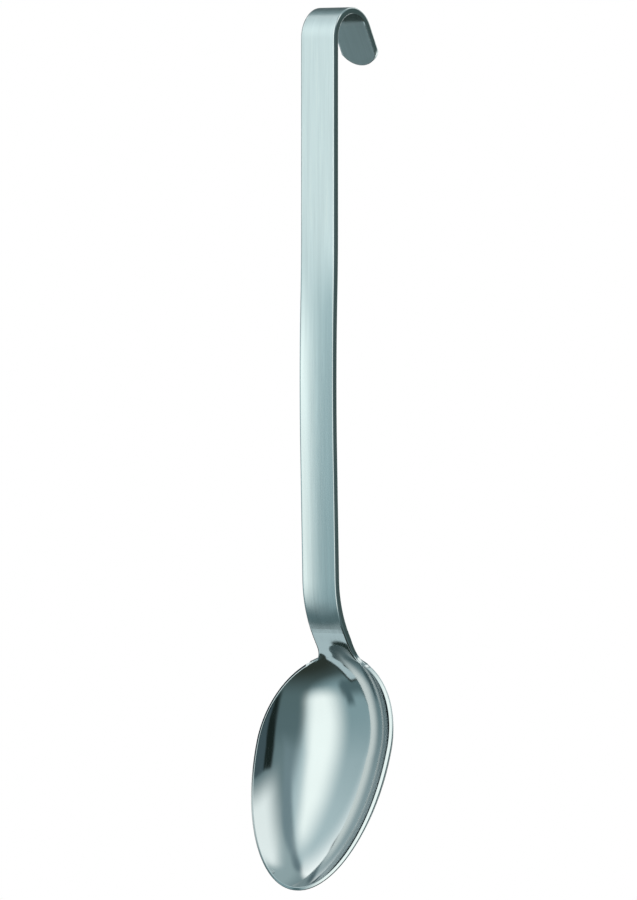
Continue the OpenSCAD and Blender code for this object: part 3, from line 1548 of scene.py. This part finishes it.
    @staticmethod
    def _share(tree: bpy.types.NodeTree, card: Card, way: bpy.types.NodeSocket) -> bpy.types.NodeSocket:
        """Works out how much of a card lies in a direction.

        Args:
            tree: node tree.
            card: the card.
            way: socket of the direction.

        Returns:
            A socket that is 1 inside the card and 0 outside.
        """
        share: object = 1.0
        for normal, soft in card.sides():
            across = add_node(tree, "ShaderNodeVectorMath", {0: way, 1: normal}, operation="DOT_PRODUCT")
            step = add_node(
                tree,
                "ShaderNodeMapRange",
                {"Value": across.outputs["Value"], "From Min": -soft / 2, "From Max": soft / 2},
                interpolation_type="SMOOTHSTEP",
            )
            product = add_node(tree, "ShaderNodeMath", {0: share, 1: step.outputs[0]}, operation="MULTIPLY")
            share = product.outputs[0]
        return share


@dataclass
class StudioFloor:
    """Pale floor below the hanging spoon, which fades into the white surround.

    Attributes:
        height: height of the floor.
        radius: its radius.
        fade: shares of the radius between which it fades.
        colour: sRGB hex value of the floor.
    """

    height: float = -400.0
    radius: float = 1000.0
    fade: tuple[float, float] = (0.35, 0.95)
    colour: str = "#EEF0F0"

    def build(self) -> bpy.types.Object:
        """Builds the floor.

        Returns:
            The floor, which is not part of the object.
        """
        bm = bmesh.new()
        bmesh.ops.create_circle(bm, cap_ends=True, radius=self.radius, segments=96)
        bmesh.ops.translate(bm, verts=bm.verts, vec=(0, 0, self.height))
        floor = finish_mesh(bm, "pale_floor")
        floor.data.materials.append(self._material())
        floor.visible_glossy = False
        return floor

    def _material(self) -> bpy.types.Material:
        """Makes a matt pale surface that ends in nothing at its rim and from below.

        Returns:
            The material, which reads Object coordinates.
        """
        material, tree = new_tree("matt_pale_floor")
        place = add_node(tree, "ShaderNodeTexCoord")
        flat = add_node(
            tree, "ShaderNodeMapping", {"Vector": place.outputs["Object"], "Scale": (1.0, 1.0, 0.0)}
        )
        out = add_node(tree, "ShaderNodeVectorMath", {0: flat.outputs[0]}, operation="LENGTH")
        fade = add_node(
            tree,
            "ShaderNodeMapRange",
            {
                "Value": out.outputs["Value"],
                "From Min": self.fade[0] * self.radius * MM,
                "From Max": self.fade[1] * self.radius * MM,
            },
            interpolation_type="SMOOTHSTEP",
        )
        under = add_node(tree, "ShaderNodeNewGeometry")
        away = add_node(
            tree, "ShaderNodeMath", {0: fade.outputs[0], 1: under.outputs["Backfacing"]}, operation="MAXIMUM"
        )
        paint = add_node(tree, "ShaderNodeBsdfDiffuse", {"Color": linear(self.colour), "Roughness": 0.5})
        clear = add_node(tree, "ShaderNodeBsdfTransparent")
        mixed = add_node(
            tree, "ShaderNodeMixShader", {0: away.outputs[0], 1: paint.outputs[0], 2: clear.outputs[0]}
        )
        add_node(tree, "ShaderNodeOutputMaterial", {"Surface": mixed.outputs[0]})
        return material


@dataclass
class StudioCamera:
    """Camera far off with a long lens, turned 38 degrees about the handle as in the photograph.

    Attributes:
        azimuth: angle from the front towards +X, in degrees.
        elevation: angle above the horizon, in degrees.
        distance: distance from what it aims at.
        aim: place that it aims at.
        lens: focal length.
    """

    azimuth: float = 38.0
    elevation: float = 1.5
    distance: float = 3000.0
    aim: tuple[float, float, float] = (-5.157, -4.035, -148.893)
    lens: float = 331.13

    def build(self) -> bpy.types.Object:
        """Builds the camera and makes it the scene's own.

        Returns:
            The camera.
        """
        data = bpy.data.cameras.new("studio_camera")
        data.lens = self.lens
        data.sensor_width = 36.0
        data.sensor_fit = "AUTO"
        data.clip_start = 0.1
        data.clip_end = 20.0
        camera = bpy.data.objects.new("studio_camera", data)
        bpy.context.scene.collection.objects.link(camera)
        back = direction(self.azimuth, self.elevation)
        camera.location = (Vector(self.aim) + back * self.distance) * MM
        camera.rotation_mode = "QUATERNION"
        camera.rotation_quaternion = (-back).to_track_quat("-Z", "Y")
        bpy.context.scene.camera = camera
        return camera


def main() -> None:
    """Builds the pieces, the studio and the camera in order, and reports each one."""
    logging.basicConfig(level=logging.INFO, format="%(name)s: %(message)s")
    for maker in (HandleBar(), NeckWeld(), PressedBowl()):
        piece = maker.build()
        log.info("%s: %d faces", piece.name, len(piece.data.polygons))
    StudioLight().build()
    StudioFloor().build()
    StudioCamera().build()


if __name__ == "__main__":
    main()
